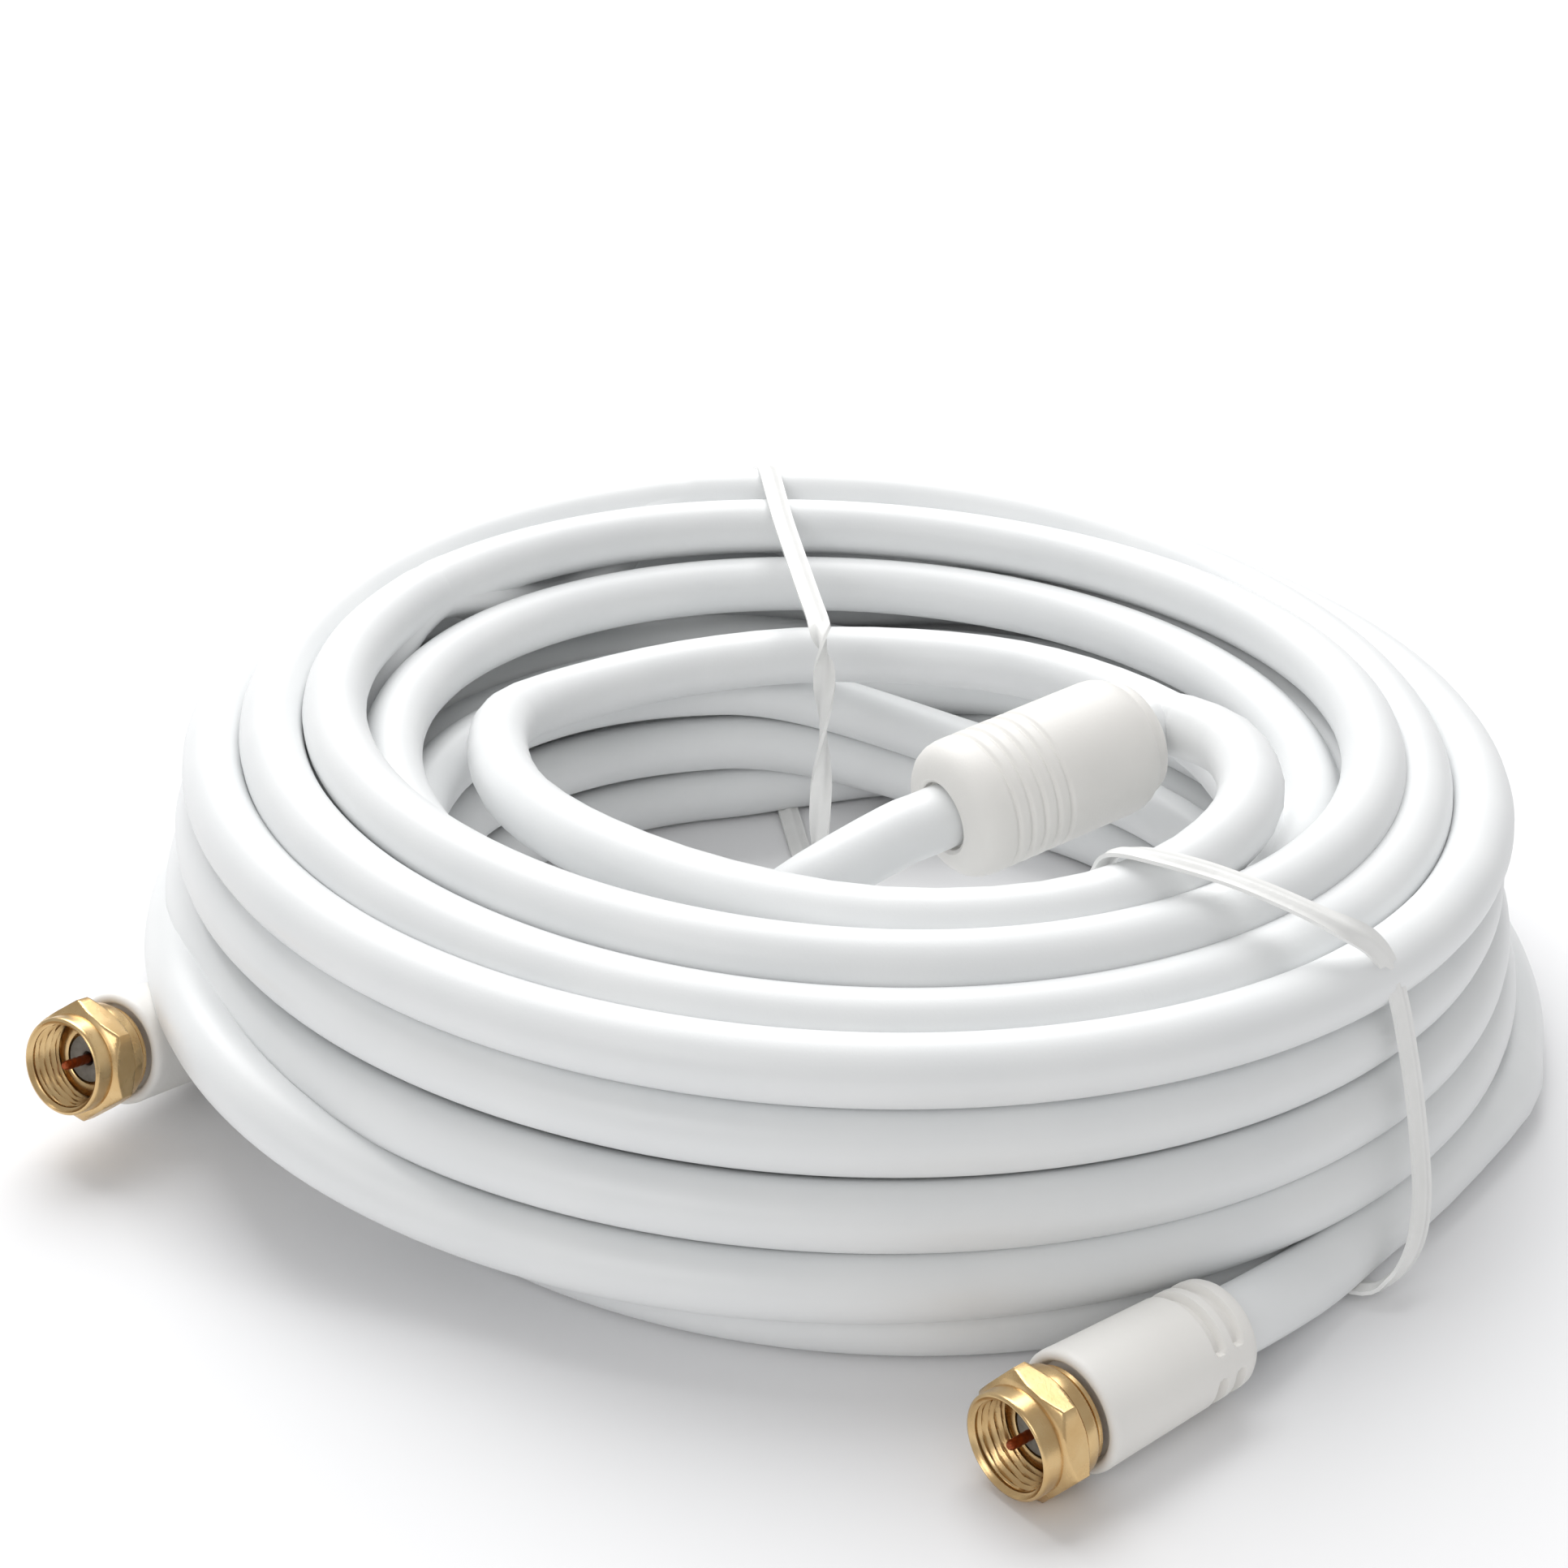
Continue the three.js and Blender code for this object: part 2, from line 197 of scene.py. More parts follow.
# Injection moulded PVC of the boots and the choke: a warmer white, matter than the jacket.
def mouldingMaterial():
    material, tree, shader, coords = newMaterial("moulded PVC")
    clouds = addNode(tree, "ShaderNodeTexNoise", {"Vector": coords, "Scale": 160.0, "Detail": 3.0})
    tone = addNode(tree, "ShaderNodeMix", {"Factor": clouds.outputs["Fac"], "A": toLinear("#ebe9e5"),
                                           "B": toLinear("#f3f1ed")}, data_type="RGBA")
    grain = addNode(tree, "ShaderNodeTexNoise", {"Vector": coords, "Scale": 3200.0, "Detail": 2.0})
    bump = addNode(tree, "ShaderNodeBump", {"Height": grain.outputs["Fac"], "Strength": 0.08,
                                            "Distance": 0.0002})
    tree.links.new(tone.outputs["Result"], shader.inputs["Base Color"])
    tree.links.new(bump.outputs["Normal"], shader.inputs["Normal"])
    shader.inputs["Roughness"].default_value = 0.5
    shader.inputs["IOR"].default_value = 1.53
    return material


# Gold-plated brass, turned: bright, warm, with fine turning marks around the axis.
def goldMaterial():
    material, tree, shader, coords = newMaterial("gold plated brass")
    clouds = addNode(tree, "ShaderNodeTexNoise", {"Vector": coords, "Scale": 400.0, "Detail": 3.0})
    tone = addNode(tree, "ShaderNodeMix", {"Factor": clouds.outputs["Fac"], "A": toLinear("#c7a06a"),
                                           "B": toLinear("#e8cd9c")}, data_type="RGBA")
    gloss = addNode(tree, "ShaderNodeMapRange", {"Value": clouds.outputs["Fac"],
                                                 "To Min": 0.2, "To Max": 0.34})
    marks = addNode(tree, "ShaderNodeTexNoise", {"Vector": coords, "Scale": 3000.0, "Detail": 2.0})
    bump = addNode(tree, "ShaderNodeBump", {"Height": marks.outputs["Fac"], "Strength": 0.06,
                                            "Distance": 0.0001})
    tree.links.new(tone.outputs["Result"], shader.inputs["Base Color"])
    tree.links.new(gloss.outputs["Result"], shader.inputs["Roughness"])
    tree.links.new(bump.outputs["Normal"], shader.inputs["Normal"])
    shader.inputs["Metallic"].default_value = 1.0
    return material


# Extruded polyethylene foam at the plug's face: matte, its white painted down to grey as shade of the nut's
# bore it sits deep in.
def foamPaintedShadeMaterial():
    material, tree, shader, coords = newMaterial("polyethylene foam")
    cells = addNode(tree, "ShaderNodeTexNoise", {"Vector": coords, "Scale": 1800.0, "Detail": 3.0})
    # painted shade: both greys are darkened for the bore around the foam; the cell noise only varies the
    # tone at random
    tone = addNode(tree, "ShaderNodeMix", {"Factor": cells.outputs["Fac"], "A": toLinear("#6f6b64"),
                                           "B": toLinear("#959188")}, data_type="RGBA")
    bump = addNode(tree, "ShaderNodeBump", {"Height": cells.outputs["Fac"], "Strength": 0.2,
                                            "Distance": 0.0002})
    tree.links.new(tone.outputs["Result"], shader.inputs["Base Color"])
    tree.links.new(bump.outputs["Normal"], shader.inputs["Normal"])
    shader.inputs["Roughness"].default_value = 0.65
    return material


# Copper-clad wire, bare and a little tarnished: brown-red with dark bands.
def copperMaterial():
    material, tree, shader, coords = newMaterial("tarnished copper wire")
    stain = addNode(tree, "ShaderNodeTexNoise", {"Vector": coords, "Scale": 1500.0, "Detail": 3.0})
    tone = addNode(tree, "ShaderNodeMix", {"Factor": stain.outputs["Fac"], "A": toLinear("#6b2c17"),
                                           "B": toLinear("#c0673f")}, data_type="RGBA")
    tree.links.new(tone.outputs["Result"], shader.inputs["Base Color"])
    shader.inputs["Metallic"].default_value = 1.0
    shader.inputs["Roughness"].default_value = 0.35
    return material


# Plastic ribbon with a steel wire inside: smooth white, glossier than the jacket.
def ribbonMaterial():
    material, tree, shader, coords = newMaterial("extruded ribbon plastic")
    clouds = addNode(tree, "ShaderNodeTexNoise", {"Vector": coords, "Scale": 300.0, "Detail": 2.0})
    tone = addNode(tree, "ShaderNodeMix", {"Factor": clouds.outputs["Fac"], "A": toLinear("#ececea"),
                                           "B": toLinear("#f6f6f4")}, data_type="RGBA")
    creases = addNode(tree, "ShaderNodeTexNoise", {"Vector": coords, "Scale": 700.0, "Detail": 2.0})
    bump = addNode(tree, "ShaderNodeBump", {"Height": creases.outputs["Fac"], "Strength": 0.25,
                                            "Distance": 0.0002})
    tree.links.new(tone.outputs["Result"], shader.inputs["Base Color"])
    tree.links.new(bump.outputs["Normal"], shader.inputs["Normal"])
    shader.inputs["Roughness"].default_value = 0.32
    return material


jacket = jacketMaterial()
moulding = mouldingMaterial()
gold = goldMaterial()
insulation = foamPaintedShadeMaterial()
copper = copperMaterial()
ribbon = ribbonMaterial()
print("materials made")

# The plugs and the choke stand as in the CAD: the mouth of each nut, and the way from there to the
# cable, in degrees round +Z and downwards.
frontPlug = {"name": "front", "mouth": (14.7, -91.8, 5.9), "turn": 40.5, "dip": 0.0}
leftPlug = {"name": "left", "mouth": (-78.0, -45.5, 11.6), "turn": 59.0, "dip": 13.5}


def plugPlace(plug):
    turn = Matrix.Rotation(math.radians(plug["turn"]), 4, "Z")
    dip = Matrix.Rotation(math.radians(plug["dip"]), 4, "Y")
    return Matrix.Translation(plug["mouth"]) @ turn @ dip


chokePlace = (Matrix.Translation((31.6, -9.1, 35.3)) @ Matrix.Rotation(math.radians(213), 4, "Z")
              @ Matrix.Rotation(math.radians(8), 4, "Y"))


cable = {
    "diameter": 6.9,
    "step": 6.0,  # degrees between points
    "sides": 8,
    # Each place in the wound section: how far from the axis and how high it is at the right, back,
    # left and front of the coil.
    "places": {
        "lead": ((77.0, 76.0, 72.0, 77.0), (3.45, 3.45, 3.45, 3.45)),
        "foot": ((70.1, 64.0, 60.0, 71.0), (3.45, 3.45, 3.45, 3.45)),
        "outer4": ((73.2, 74.1, 74.6, 73.7), (9.5, 8.8, 8.4, 9.1)),
        "outer3": ((71.9, 71.9, 71.9, 71.9), (15.4, 15.5, 15.7, 15.7)),
        "outer2": ((70.1, 70.1, 70.1, 70.1), (21.6, 21.6, 22.9, 22.8)),
        "outer1": ((70.1, 70.5, 69.1, 69.5), (28.9, 29.0, 29.3, 29.6)),
        "underTop2": ((63.5, 64.0, 63.5, 64.0), (24.5, 25.2, 25.5, 25.0)),
        "top2": ((63.8, 63.7, 63.0, 63.1), (30.5, 33.7, 33.0, 30.9)),
        "underTop3": ((57.5, 57.3, 57.0, 57.5), (25.7, 25.6, 25.5, 25.5)),
        "top3": ((58.0, 56.4, 56.0, 57.2), (32.9, 32.3, 34.6, 33.6)),
        "core43": ((58.5, 57.3, 56.9, 58.0), (25.5, 25.0, 26.5, 25.5)),
        "core34": ((65.4, 63.5, 65.2, 65.6), (17.5, 17.5, 18.0, 17.5)),
        "core24": ((66.7, 65.2, 67.7, 67.3), (10.5, 10.35, 10.35, 10.35)),
        "core23": ((60.1, 56.3, 60.8, 60.9), (10.35, 10.35, 10.35, 10.35)),
        "core33": ((59.4, 55.0, 59.2, 59.6), (17.25, 17.25, 17.25, 17.25)),
        "core32": ((53.0, 46.8, 53.2, 53.9), (17.25, 17.25, 17.6, 17.25)),
        "core22": ((53.5, 47.3, 53.9, 54.4), (10.35, 10.35, 10.35, 10.35)),
        "core12": ((58.5, 51.0, 53.5, 58.5), (3.45, 3.45, 3.45, 3.45)),
        "wall1": ((47.0, 38.5, 47.0, 48.0), (3.45, 3.45, 3.45, 3.45)),
        "wall2": ((47.0, 38.5, 47.0, 48.0), (10.35, 10.35, 11.6, 10.35)),
        "wall3": ((47.0, 38.5, 47.0, 48.0), (17.6, 17.25, 20.3, 17.25)),
        "top4": ((52.5, 51.0, 50.4, 51.0), (26.8, 26.5, 28.4, 26.5)),
    },
    # Where the cable leaves one place and where it has come to the next, in degrees wound from the
    # right, and that place. The outer turns climb at the back, the last one under the loop's front.
    "climbs": [
        (50, 112, "foot"), (410, 472, "outer4"), (770, 832, "outer3"), (1130, 1192, "outer2"),
        (1508, 1556, "outer1"), (1850, 1884, "underTop2"), (1886, 1910, "top2"),
        (2270, 2288, "underTop3"), (2290, 2312, "top3"), (2672, 2694, "core43"),
        (2930, 2992, "core34"), (3290, 3352, "core24"), (3650, 3712, "core23"), (4010, 4072, "core33"),
        (4370, 4432, "core32"), (4730, 4792, "core22"), (5090, 5152, "core12"), (5450, 5512, "wall1"),
        (5810, 5872, "wall2"), (6170, 6232, "wall3"), (6358, 6444, "top4"),
    ],
    "leadFrom": -22.0,
    "loopFrom": 6808.0,
}

frontLeadPoints = [(40.9, -68.4, 4.9), (46.6, -61.6, 3.6), (53.4, -53.2, 3.45), (60.2, -45.2, 3.45)]
innerLoopPoints = [
    (45.7, -15.2, 25.8), (44.8, -0.6, 25.6), (40.5, 12.5, 25.5), (32.8, 23.3, 25.0), (21.9, 31.0, 24.6),
    (8.8, 34.9, 24.0), (-5.4, 34.9, 23.6), (-19.4, 30.6, 23.2), (-31.3, 22.3, 23.4), (-38.5, 10.3, 25.3),
    (-38.1, -4.6, 27.5), (-33.5, -20.4, 30.1), (-24.5, -34.3, 32.4), (-11.8, -44.7, 33.6),
    (3.3, -49.7, 33.9), (19.2, -48.0, 34.2), (31.3, -42.1, 35.4), (38.8, -33.1, 36.4), (41.9, -23.4, 36.7),
    (40.6, -13.5, 36.6),
]
boreLeadPoints = [
    (-3, -30.6, 27.5), (-14, -30.5, 18.5), (-24, -25.5, 10), (-32, -18.5, 5), (-38.4, -13.6, 3.6),
    (-45, -12.0, 3.45), (-51.5, -12.7, 3.45), (-57.0, -15.5, 3.5), (-61.0, -18.9, 4.3),
]

# How far turns are lifted where the left plug's boot and its cable lie under them.
bootRise = {
    "outside": 12.5, "inside": 8.0,  # mm
    "around": 206.0, "half": 40.0, "insideAround": 197.0, "insideHalf": 26.0,  # degrees
    "insideTop": 24.0,  # mm, the height above which nothing is lifted
}


# A value that goes smoothly round the coil through its four stated ones.
def roundValue(four, angle):
    right, back, left, front = four
    across, along = (right - left) / 2, (back - front) / 2
    oval = ((right + left) - (back + front)) / 4
    return sum(four) / 4 + across * math.cos(angle) + along * math.sin(angle) + oval * math.cos(2 * angle)


def window(degrees, middle, half):
    off = abs((degrees - middle + 180) % 360 - 180) / half
    return math.cos(off * math.pi / 2) ** 2 if off < 1 else 0.0


def placePoint(name, angle):
    radii, heights = cable["places"][name]
    number = list(cable["places"]).index(name)
    # a wound cable is never quite round
    radius = roundValue(radii, angle) + 0.22 * math.sin(2 * angle + 1.7 * number)
    height = roundValue(heights, angle) + 0.12 * math.sin(3 * angle + 2.3 * number)
    return Vector((radius * math.cos(angle), radius * math.sin(angle), max(height, 3.45)))


def turnPoint(degrees):
    angle = math.radians(degrees)
    before = after = "lead"
    share = 1.0
    for leaves, arrives, name in cable["climbs"]:
        if degrees < leaves:
            break
        before, after = after, name
        into = min((degrees - leaves) / (arrives - leaves), 1.0)
        share = into * into * (3 - 2 * into)
    point = placePoint(before, angle).lerp(placePoint(after, angle), share)
    if after == "outer4":
        towards = (Vector(viewpoint["place"]) - point).normalized()
        point += towards * bootRise["outside"] * window(degrees, bootRise["around"], bootRise["half"])
    elif point.z < bootRise["insideTop"] and not after.startswith("outer"):
        near = window(degrees, bootRise["insideAround"], bootRise["insideHalf"])
        point.z += bootRise["inside"] * (1 - point.z / bootRise["insideTop"]) * near
    return point


# The whole cable's middle: out of the front plug's boot, up through the coil, round the loop, through
# the choke and under the coil into the left plug's boot.
def cablePath():
    front, left = plugPlace(frontPlug), plugPlace(leftPlug)
    points = [front @ Vector((along, 0, 0)) for along in (22.0, 25.0, 28.0)]
    points += [Vector(p) for p in frontLeadPoints]
    degrees = cable["leadFrom"]
    while degrees <= cable["loopFrom"]:
        points.append(turnPoint(degrees))
        degrees += cable["step"]
    points += [Vector(p) for p in innerLoopPoints]
    points += [chokePlace @ Vector((along, 0, 0)) for along in (-4, 0, 9, 18, 28, 32)]
    points += [Vector(p) for p in boreLeadPoints]
    points += [left @ Vector((along, 0, 0)) for along in (28.0, 25.0, 22.0)]
    return [(p + axisPlace) * mm for p in smoothLine(points, 3)]


cablePoints = cablePath()

cableCurve = bpy.data.curves.new("cable", "CURVE")
cableCurve.dimensions = "3D"
cableCurve.bevel_depth = cable["diameter"] / 2 * mm
cableCurve.bevel_resolution = cable["sides"]
cableCurve.use_fill_caps = True
cableLine = cableCurve.splines.new("POLY")
cableLine.points.add(len(cablePoints) - 1)
for point, place in zip(cableLine.points, cablePoints):
    point.co = (*place, 1)
cableLine.use_smooth = True
cableCurve.materials.append(jacket)
cablePiece = bpy.data.objects.new("cable", cableCurve)
bpy.context.scene.collection.objects.link(cablePiece)
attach(cablePiece, "cable")
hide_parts("cable_coil", "inner_loop", "bore_lead", "front_lead")


nutSizes = {
    "length": 6.4, "collarRadius": 5.05, "collarLength": 2.0, "hexLength": 2.9, "flats": 11.1,
    "shoulderRadius": 5.35, "threadRadius": 4.3, "threadHeight": 0.36, "threadPitch": 0.794,
    "threadFrom": 0.55, "threadDepth": 4.9, "neckRadius": 3.55, "steps": 96,
}


def rings(start, end, spacing):
    count = max(1, round((end - start) / spacing))
    return [start + (end - start) * i / count for i in range(1, count + 1)]


# The nut is turned as one sleeve, and then its middle is drawn out to a chamfered hexagon and its
# bore is cut by a thread.
def nutBody(turnDegrees):
    size = nutSizes
    hexFrom, hexTo = size["collarLength"], size["collarLength"] + size["hexLength"]
    corner = size["flats"] / math.sqrt(3)
    collar, shoulder = size["collarRadius"], size["shoulderRadius"]
    outer = [(0.0, 4.72), (0.06, 4.9), (0.22, 5.02), (0.45, collar), (hexFrom - 0.12, collar),
             (hexFrom, 5.06)]
    outer += [(x, corner) for x in rings(hexFrom, hexTo, 0.12)]
    outer += [(hexTo + 0.02, 5.34), (hexTo + 0.2, shoulder), (size["length"] - 0.45, shoulder),
              (size["length"] - 0.2, 5.28), (size["length"] - 0.05, 5.12), (size["length"], 4.9)]
    bore = [(size["length"], 3.75), (size["length"] - 0.15, size["neckRadius"]),
            (size["threadDepth"], size["neckRadius"]), (size["threadDepth"], size["threadRadius"] + 0.2)]
    bore += [(x, size["threadRadius"]) for x in reversed(rings(0.35, size["threadDepth"] - 0.02, 0.09))]
    bore += [(0.3, 4.5), (0.12, 4.62)]
    bm = turnedBody(outer + bore, size["steps"], closed=True)
    for vert in bm.verts:
        along, radius = vert.co.x, math.hypot(vert.co.y, vert.co.z)
        around = math.atan2(vert.co.z, vert.co.y)
        wanted = radius
        if hexFrom < along <= hexTo + 1e-4 and radius > 5.5:
            side = (around - math.radians(turnDegrees)) % (math.pi / 3) - math.pi / 6
            flat = size["flats"] / 2 / math.cos(side)
            nearest = min(along - hexFrom, hexTo - along)
            wanted = min(flat, size["flats"] / 2 - 0.3 + nearest * 1.5)
        elif size["threadFrom"] < along < size["threadDepth"] - 0.2 and radius < 4.4:
            phase = (along / size["threadPitch"] - around / (2 * math.pi)) % 1
            ease = min(1, (along - size["threadFrom"]) / 0.4)
            wanted = radius + ease * size["threadHeight"] * (abs(2 * phase - 1) * 1.25 - 0.25)
        if wanted != radius:
            scaleRadius(vert, wanted / radius)
    return bm


plugBodySizes = {
    "flangeFrom": 3.7, "flangeTo": 4.6, "flangeRadius": 4.05, "neckRadius": 3.2, "socketRadius": 2.7,
    "ferruleFrom": 6.7, "ferruleTo": 7.3, "ferruleRadius": 4.75, "pinRoom": 0.75,
}


def plugBody():
    size = plugBodySizes
    a, b = size["flangeFrom"], size["ferruleTo"]
    return turnedBody([
        (a + 0.1, size["socketRadius"]), (a, size["socketRadius"] + 0.12), (a, size["flangeRadius"] - 0.15),
        (a + 0.12, size["flangeRadius"]), (size["flangeTo"], size["flangeRadius"]),
        (size["flangeTo"], size["neckRadius"]), (size["ferruleFrom"], size["neckRadius"]),
        (size["ferruleFrom"], size["ferruleRadius"] - 0.12),
        (size["ferruleFrom"] + 0.1, size["ferruleRadius"]),
        (b - 0.1, size["ferruleRadius"]), (b, size["ferruleRadius"] - 0.1), (b, size["pinRoom"]),
        (a + 1.65, size["pinRoom"]), (a + 1.65, size["socketRadius"]),
    ], closed=True)


def insulatorBody():
    size = plugBodySizes
    a, rim = size["flangeFrom"], size["socketRadius"] - 0.25
    return turnedBody([(a + 0.12, size["pinRoom"]), (a, size["pinRoom"] + 0.15), (a, rim - 0.15),
                       (a + 0.12, rim), (a + 1.4, rim), (a + 1.4, size["pinRoom"])], closed=True)


pinSizes = {"from": 0.4, "to": 7.3, "radius": 0.5, "roughness": 0.05, "steps": 20}


# The cut end of the cable's own wire, a little rough along its length.
def pinBody():
    a, b = pinSizes["from"], pinSizes["to"]
    profile = [(a, 0.0), (a, 0.3), (a + 0.15, 0.44)]
    profile += [(x, pinSizes["radius"]) for x in rings(a + 0.3, b, 0.16)] + [(b, 0.0)]
    bm = turnedBody(profile, pinSizes["steps"])
    for vert in bm.verts:
        if vert.co.x > 0.6 and abs(vert.co.y) + abs(vert.co.z) > 0.1:
            phase = vert.co.x * 9.0 + math.atan2(vert.co.z, vert.co.y) * 2
            scaleRadius(vert, 1 + pinSizes["roughness"] * math.sin(phase))
    return bm


bootSizes = {
    "from": 7.6, "to": 27.1, "frontRadius": 5.9, "rearRadius": 5.35,
    "slots": (22.0, 24.4), "slotWidth": 1.15, "slotDepth": 0.75, "slotEdge": 0.3, "steps": 120,
    "topSlot": 62, "sideGap": 26,  # degrees each way from the top, and from there to the next slot
}


# The moulded boot, with two rings of slots round its rear.
def bootBody():
    size = bootSizes
    a, b = size["from"], size["to"]
    slope = (size["rearRadius"] - size["frontRadius"]) / (b - a)
    slotsFrom, slotsTo = size["slots"][0] - 1, size["slots"][1] + 1
    along = rings(a + 0.9, slotsFrom, 1.0) + rings(slotsFrom, slotsTo, 0.11)
    profile = [(a + 1.2, 0.0), (a + 1.2, 4.6), (a + 0.25, 4.85), (a + 0.05, 5.05), (a, 5.25),
               (a + 0.06, 5.5), (a + 0.22, 5.72), (a + 0.5, 5.86), (a + 0.9, size["frontRadius"])]
    profile += [(x, size["frontRadius"] + slope * (x - a)) for x in along]
    profile += [(b - 1.5, 5.4), (b - 0.8, 5.3), (b - 0.3, 5.0), (b - 0.08, 4.7), (b, 4.35), (b - 0.1, 3.95),
                (b - 0.5, 3.7), (b - 2.0, 3.65), (b - 2.0, 0.0)]
    bm = turnedBody(profile, size["steps"])
    for vert in bm.verts:
        radius = math.hypot(vert.co.y, vert.co.z)
        if radius < 5 or not slotsFrom < vert.co.x < slotsTo:
            continue
        fromTop = abs(math.degrees(math.atan2(vert.co.y, vert.co.z)))
        if fromTop < size["topSlot"] + size["sideGap"] / 2:
            edge = size["topSlot"] - fromTop
        else:
            edge = fromTop - size["topSlot"] - size["sideGap"]
        inMm = edge * math.pi / 180 * radius
        for middle in size["slots"]:
            half = size["slotWidth"] / 2
            off = abs(vert.co.x - middle)
            if inMm < half:
                off = math.hypot(off, half - inMm)
            depth = size["slotDepth"] * min(1, max(0, (half - off) / size["slotEdge"] + 0.5))
            if depth > 0:
                scaleRadius(vert, (radius - depth) / radius)
                break
    return bm


plugPieces = {}
for plug, nutTurn in ((frontPlug, 8), (leftPlug, 20)):
    name, place = plug["name"], plugPlace(plug)
    bodies = {
        "boot": (bootBody(), moulding, "moulding", "cable"),
        "nut": (nutBody(nutTurn), gold, "gold", name + "_nut"),
        "plug_body": (plugBody(), gold, "gold", "cable"),
        "insulator": (insulatorBody(), insulation, "insulation", "cable"),
        "pin": (pinBody(), copper, "copper", "cable"),
    }
    plugPieces[name] = []
    for part, (bm, material, slotName, body) in bodies.items():
        piece = finishPiece(f"{name}_{part}_dressed", placeBody(bm, place), material, 40)
        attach(piece, body)
        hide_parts(f"{name}_{part}")
        plugPieces[name].append(piece)
print("plugs made")

chokeSizes = {
    "length": 26.0, "radius": 7.6, "steps": 96,
    "grooves": (14.4, 16.1, 17.8, 19.5, 21.2), "grooveDepth": 0.28, "grooveHalf": 0.42,
}


def chokeBody():
    size = chokeSizes
    end = size["length"]
    profile = [(1.0, 0.0), (1.0, 3.75), (0.3, 3.85), (0.0, 4.2), (0.05, 4.9), (0.3, 5.6), (0.75, 6.15),
               (1.3, 6.42), (1.75, 6.4), (2.0, 6.45), (2.35, 6.85), (2.9, 7.25), (3.6, 7.5),
               (4.6, size["radius"])]
    profile += [(x, size["radius"]) for x in rings(4.6, 13.6, 1.5)]
    profile += [(x, size["radius"]) for x in rings(13.6, 22.0, 0.14)]
    profile += [(end - 3.0, 7.58), (end - 2.1, 7.42), (end - 1.3, 7.05), (end - 0.7, 6.45),
                (end - 0.3, 5.7), (end - 0.05, 4.9), (end, 4.2), (end - 0.3, 3.8), (end - 1.0, 3.7),
                (end - 1.0, 0.0)]
    bm = turnedBody(profile, size["steps"])
    for vert in bm.verts:
        radius = math.hypot(vert.co.y, vert.co.z)
        if radius > 7:
            for groove in size["grooves"]:
                off = abs(vert.co.x - groove) / size["grooveHalf"]
                if off < 1:
                    scaleRadius(vert, 1 - size["grooveDepth"] * math.cos(off * math.pi / 2) ** 2 / radius)
    return bm


chokePiece = finishPiece("choke_dressed", placeBody(chokeBody(), chokePlace), moulding, 40)
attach(chokePiece, "cable")
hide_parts("ferrite_choke")
print("choke made")

tieOutline = [(-1.3, -0.2), (-1.3, 0.2), (-0.55, 0.24), (-0.3, 0.45), (0.3, 0.45), (0.55, 0.24), (1.3, 0.2),
              (1.3, -0.2), (0.55, -0.24), (0.3, -0.45), (-0.3, -0.45), (-0.55, -0.24)]
frontTiePoints = [
    (24.9, -40.6, 35.2), (25.7, -42.0, 38.0), (27.4, -43.9, 39.3), (30.8, -45.3, 39.4), (35.4, -46.9, 38.9),
    (40.4, -49.4, 38.2), (46.0, -51.6, 36.6), (50.4, -50.5, 33.6), (53.0, -50.3, 29.0), (55.0, -51.5, 22.0),
    (56.3, -53.6, 15.5), (56.9, -56.8, 9.5), (56.2, -59.4, 5.4), (54.2, -60.6, 2.4), (51.0, -60.2, 1.0),
    (44.0, -54.5, 0.7), (36.0, -45.0, 0.7), (29.8, -37.6, 0.8), (27.2, -34.6, 2.2), (26.4, -33.6, 10.0),
    (24.6, -34.8, 19.0), (23.6, -38.2, 29.0),
]
backTieFrame = {
    "middle": (-6.0, 39.0), "turn": 99.3,
    "twistDegrees": 540, "twistFrom": 0.74, "twistShare": 0.24,  # shares of its length
}
backTieRoute = [
    (-20, 0.6), (0, 0.6), (20, 0.6), (36.2, 1.2), (38.9, 8), (37.6, 16.5), (36, 25), (33.6, 31.6),
    (29, 35.8), (24.0, 37.6), (18, 36.9), (10, 35.8), (0, 35.2), (-12, 34.6), (-18.5, 34.3), (-22.6, 32.4),
    (-24.4, 27), (-24.8, 16), (-24.2, 4),
]


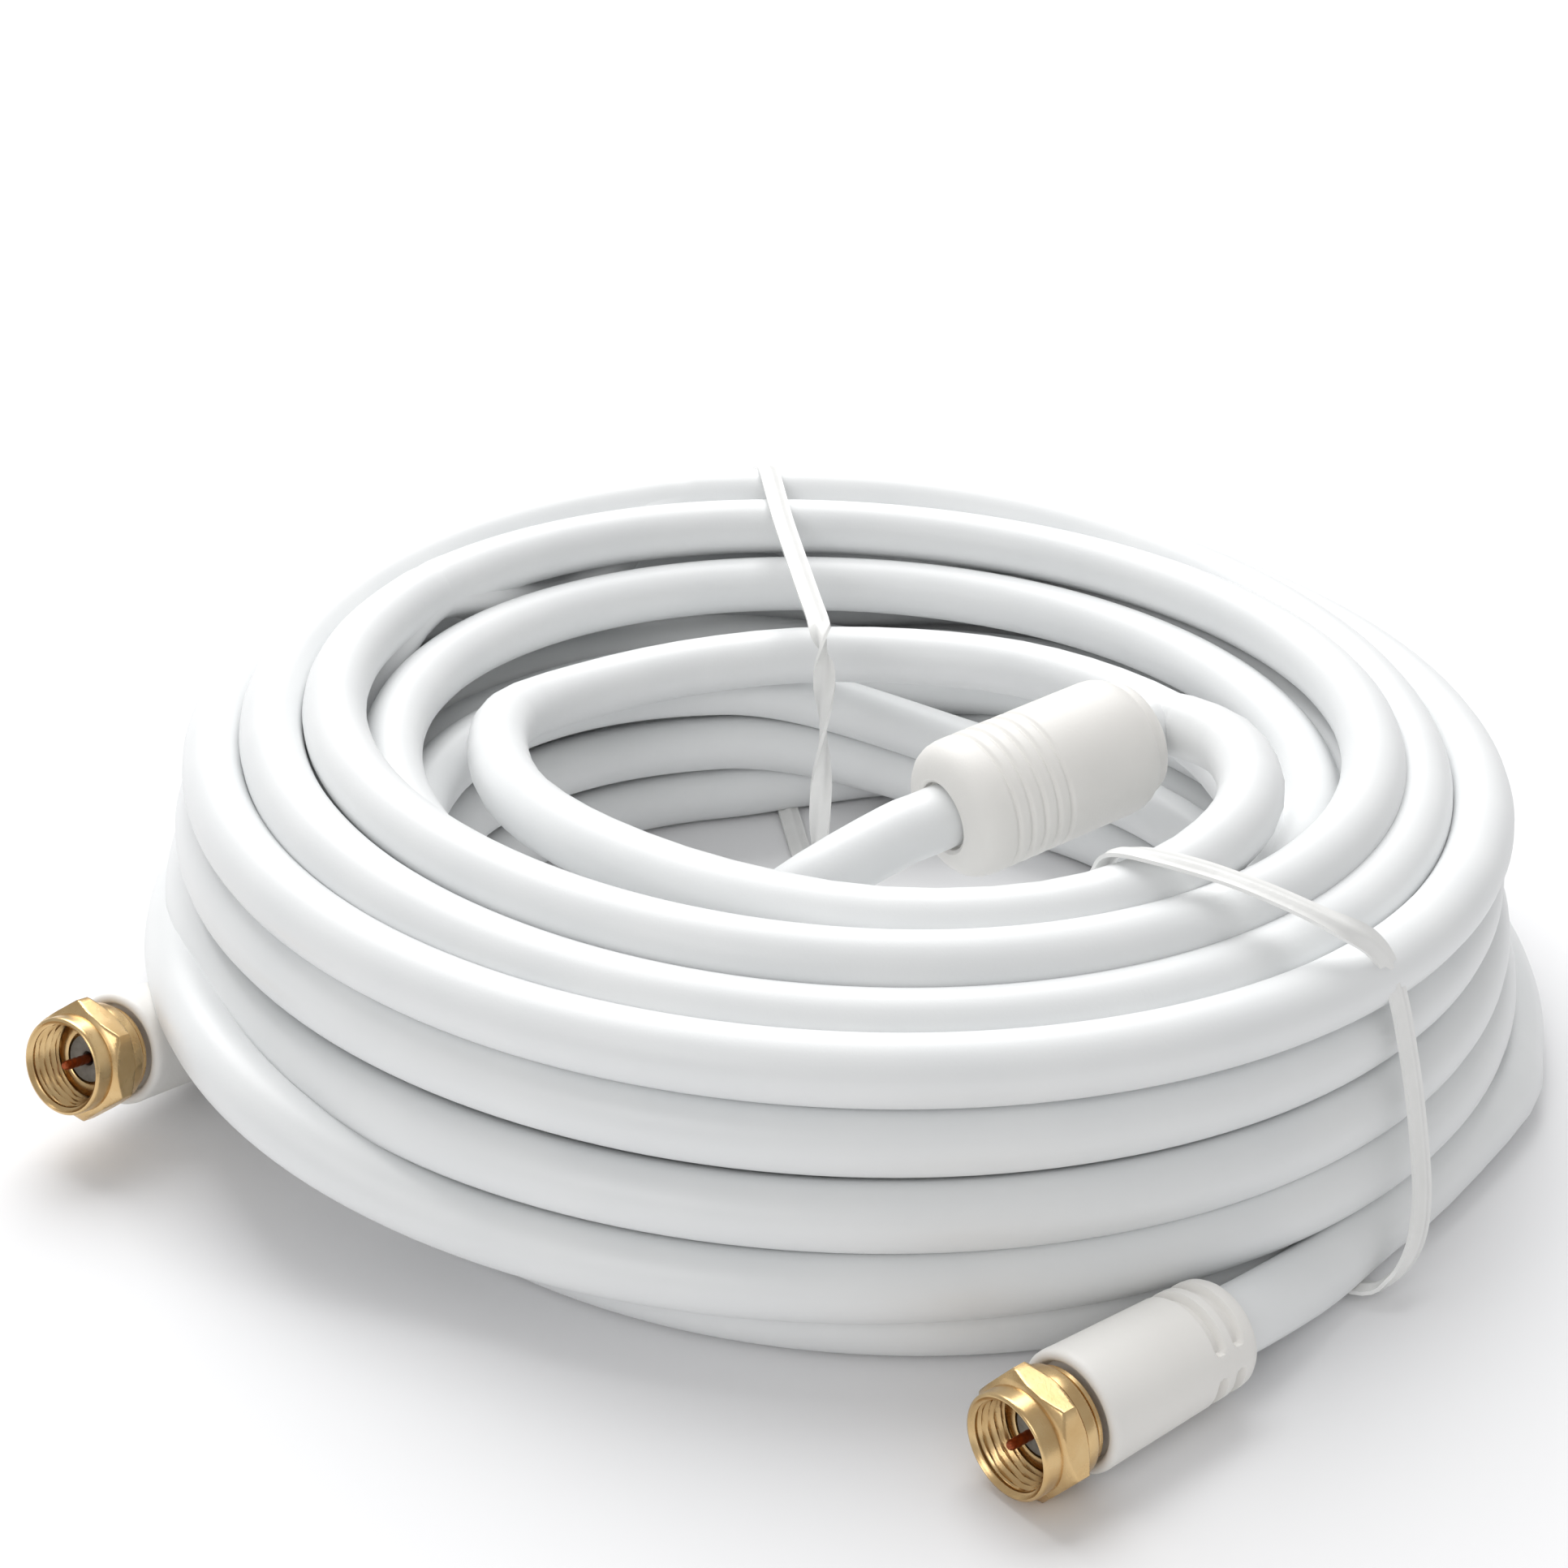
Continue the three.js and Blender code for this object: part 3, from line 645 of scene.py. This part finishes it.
def tieBody(points, twist):
    line = smoothLine([Vector(p) for p in points], 6, closed=True)
    stations = []
    for i, point in enumerate(line):
        ahead = (line[(i + 1) % len(line)] - line[i - 1]).normalized()
        aroundCoil = Vector((-point.y, point.x, 0)).normalized()
        side = (aroundCoil - ahead * aroundCoil.dot(ahead)).normalized()
        turn = Matrix.Rotation(math.radians(twist(i / len(line))), 3, ahead)
        side = turn @ side
        facing = ahead.cross(side)
        stations.append(Matrix.Translation(point) @ Matrix((side, facing, ahead)).transposed().to_4x4())
    return sweptBody(tieOutline, stations, closed=True)


def backTiePoints():
    angle = math.radians(backTieFrame["turn"])
    x, y = backTieFrame["middle"]
    return [(x + out * math.cos(angle), y + out * math.sin(angle), up) for out, up in backTieRoute]


# The ribbon is twisted where it goes down into the bore.
def backTwist(share):
    into = (share - backTieFrame["twistFrom"]) / backTieFrame["twistShare"]
    return backTieFrame["twistDegrees"] * min(1, max(0, into))


for name, points, twist in (("front_tie", frontTiePoints, lambda share: 0.0),
                            ("back_tie", backTiePoints(), backTwist)):
    body = placeBody(tieBody(points, twist), Matrix.Identity(4))
    piece = finishPiece(name + "_dressed", body, ribbon, 50)
    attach(piece, "cable")
    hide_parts(name)
print("ties made")

floorMesh = bmesh.new()
bmesh.ops.create_grid(floorMesh, x_segments=1, y_segments=1, size=4)
floorMaterial, _, floorShader, _ = newMaterial("white paper sweep")
floorShader.inputs["Base Color"].default_value = toLinear("#f4f4f5")
floorShader.inputs["Roughness"].default_value = 0.8
floor = finishPiece("floor", floorMesh, floorMaterial)

studio = {
    "world": 0.5,
    "key": {"place": (-0.15, 0.5, 0.75), "aim": (0, 0, 0), "size": 0.8, "power": 8.0},
    "fill": {"place": (-0.6, -1.1, 0.8), "aim": (0, 0, 0), "size": 0.6, "power": 3.0},
}


def addLight(name):
    facts = studio[name]
    data = bpy.data.lights.new(name, "AREA")
    data.size = facts["size"]
    data.energy = facts["power"]
    light = bpy.data.objects.new(name, data)
    light.location = facts["place"]
    aim = Vector(facts["aim"]) - Vector(facts["place"])
    light.rotation_euler = aim.to_track_quat("-Z", "Y").to_euler()
    bpy.context.scene.collection.objects.link(light)


addLight("key")
addLight("fill")
world = bpy.data.worlds.new("studio")
world.use_nodes = True
world.node_tree.nodes["Background"].inputs["Color"].default_value = (1, 1, 1, 1)
world.node_tree.nodes["Background"].inputs["Strength"].default_value = studio["world"]
bpy.context.scene.world = world
bpy.context.scene.view_settings.view_transform = "Standard"
print("floor and lights set")

bpy.context.view_layer.update()
